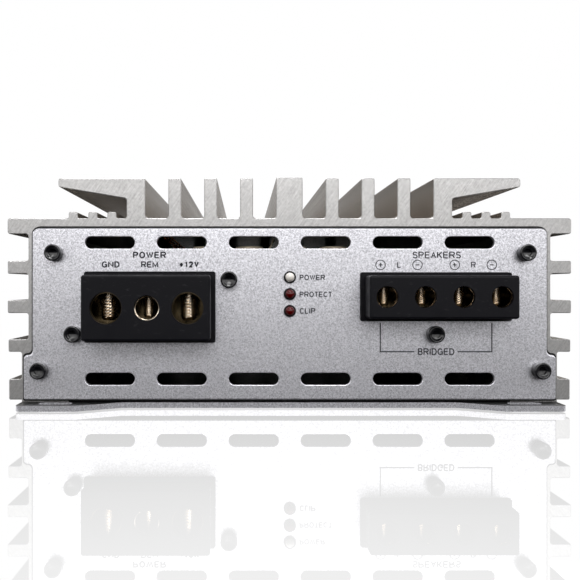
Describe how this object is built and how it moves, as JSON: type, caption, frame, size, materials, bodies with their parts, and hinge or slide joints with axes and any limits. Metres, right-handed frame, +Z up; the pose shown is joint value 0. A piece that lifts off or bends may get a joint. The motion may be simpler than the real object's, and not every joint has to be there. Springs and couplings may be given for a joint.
{
  "type": "car amplifier",
  "caption": "Finned aluminium car amplifier with screw-clamp power and speaker terminals, vented end panels, indicator lamps, level controls and slotted mounting tabs.",
  "frame": {"origin": "on the underside of the bottom plate, in the middle of the overall length and width", "axes": "+Z up; +Y along the extrusion from the terminal end towards the control end; +X to the right when facing the terminal end"},
  "size_m": [0.1862, 0.273, 0.076],
  "materials": {
    "extruded_aluminium": "as-extruded with sawn ends",
    "silver_paint": "fine metallic silver paint",
    "plate_paint": "fine metallic silver paint, dull dark on the upper side",
    "black_screws": "black oxide socket screws",
    "plated_screws": "zinc plated",
    "clamp_screws": "nickel plated thread",
    "terminal_brass": "plated brass",
    "black_plastic": "fine grained moulding",
    "clear_lens": "clear epoxy lens",
    "red_lens": "tinted red epoxy lens",
    "dark_bezel": "moulded ring",
    "board_green": "solder mask",
    "capacitor_sleeve": "shrunk sleeve",
    "cream_sleeve": "pale sleeve",
    "ferrite": "coated ring core",
    "winding_copper": "enamelled copper wire",
    "package_black": "moulded package",
    "tinned_leads": "tinned",
    "pad_grey": "thermal pad",
    "jack_metal": "bright plated shell",
    "jack_white": "left channel",
    "jack_red": "right channel",
    "film_blue": "dipped film capacitor",
    "shaft_plastic": "moulded shaft",
    "gasket_rubber": "thin black sealing strip",
    "legend_ink": "screen printed functional words"
  },
  "bodies": {
    "chassis": {"board_screws": "plated_screws", "board_standoffs": "black_plastic", "bottom_plate": "plate_paint", "bottom_plate_screws": "plated_screws", "circuit_board": "board_green", "clamp_bar_screws": "plated_screws", "clamp_bars": "plated_screws", "clip_lamp": "red_lens", "component_leads": "tinned_leads", "control_board": "board_green", "driver_chips": "package_black", "film_capacitors": "film_blue", "front_capacitors": "cream_sleeve", "front_panel": "silver_paint", "gnd_terminal": "terminal_brass", "heatsink": "extruded_aluminium", "insulating_pads": "pad_grey", "lamp_bezels": "dark_bezel", "lamp_board": "board_green", "left_jack_insulators": "jack_white", "output_inductor_core": "ferrite", "output_inductor_windings": "winding_copper", "panel_gaskets": "gasket_rubber", "panel_screws": "black_screws", "pot_bodies": "black_plastic", "power_lamp": "clear_lens", "power_terminal_housing": "black_plastic", "power_transistors": "package_black", "protect_lamp": "red_lens", "rear_panel": "silver_paint", "rem_terminal": "terminal_brass", "remote_level_port": "black_plastic", "right_jack_insulators": "jack_red", "signal_capacitors": "capacitor_sleeve", "signal_jack_bodies": "black_plastic", "signal_jack_shells": "jack_metal", "speaker_left_minus_terminal": "terminal_brass", "speaker_left_plus_terminal": "terminal_brass", "speaker_relay": "package_black", "speaker_right_minus_terminal": "terminal_brass", "speaker_right_plus_terminal": "terminal_brass", "speaker_terminal_housing": "black_plastic", "supply_12v_terminal": "terminal_brass", "supply_capacitors": "capacitor_sleeve", "switch_bodies": "plated_screws", "terminal_fixing_screws": "black_screws", "transformer_core": "ferrite", "transformer_windings": "winding_copper"},
    "gnd_screw": {"gnd_clamp_screw": "clamp_screws"},
    "rem_screw": {"rem_clamp_screw": "clamp_screws"},
    "supply_12v_screw": {"supply_12v_clamp_screw": "clamp_screws"},
    "speaker_left_plus_screw": {"speaker_left_plus_clamp_screw": "clamp_screws"},
    "speaker_left_minus_screw": {"speaker_left_minus_clamp_screw": "clamp_screws"},
    "speaker_right_plus_screw": {"speaker_right_plus_clamp_screw": "clamp_screws"},
    "speaker_right_minus_screw": {"speaker_right_minus_clamp_screw": "clamp_screws"},
    "level_control": {"level_shaft": "shaft_plastic"},
    "crossover_control": {"crossover_shaft": "shaft_plastic"},
    "bass_control": {"bass_shaft": "shaft_plastic"},
    "filter_switch": {"filter_switch_lever": "shaft_plastic"},
    "boost_switch": {"boost_switch_lever": "shaft_plastic"}
  },
  "joints": [
    {"name": "gnd_screw_lift", "type": "slide", "parent": "chassis", "child": "gnd_screw", "axis": [0, 0, 1], "range_m": [0, 0.00879]},
    {"name": "rem_screw_lift", "type": "slide", "parent": "chassis", "child": "rem_screw", "axis": [0, 0, 1], "range_m": [0, 0.00685]},
    {"name": "supply_12v_screw_lift", "type": "slide", "parent": "chassis", "child": "supply_12v_screw", "axis": [0, 0, 1], "range_m": [0, 0.00879]},
    {"name": "speaker_left_plus_screw_lift", "type": "slide", "parent": "chassis", "child": "speaker_left_plus_screw", "axis": [0, 0, 1], "range_m": [0, 0.00612]},
    {"name": "speaker_left_minus_screw_lift", "type": "slide", "parent": "chassis", "child": "speaker_left_minus_screw", "axis": [0, 0, 1], "range_m": [0, 0.00612]},
    {"name": "speaker_right_plus_screw_lift", "type": "slide", "parent": "chassis", "child": "speaker_right_plus_screw", "axis": [0, 0, 1], "range_m": [0, 0.00612]},
    {"name": "speaker_right_minus_screw_lift", "type": "slide", "parent": "chassis", "child": "speaker_right_minus_screw", "axis": [0, 0, 1], "range_m": [0, 0.00612]},
    {"name": "level_turn", "type": "hinge", "parent": "chassis", "child": "level_control", "pos_m": [0.018, 0.125, 0.03], "axis": [0, 1, 0], "range_deg": [-150, 150]},
    {"name": "crossover_turn", "type": "hinge", "parent": "chassis", "child": "crossover_control", "pos_m": [-0.006, 0.125, 0.03], "axis": [0, 1, 0], "range_deg": [-150, 150]},
    {"name": "bass_turn", "type": "hinge", "parent": "chassis", "child": "bass_control", "pos_m": [-0.03, 0.125, 0.03], "axis": [0, 1, 0], "range_deg": [-150, 150]},
    {"name": "filter_switch_slide", "type": "slide", "parent": "chassis", "child": "filter_switch", "axis": [1, 0, 0], "range_m": [-0.002, 0.002]},
    {"name": "boost_switch_slide", "type": "slide", "parent": "chassis", "child": "boost_switch", "axis": [1, 0, 0], "range_m": [-0.002, 0.002]}
  ]
}
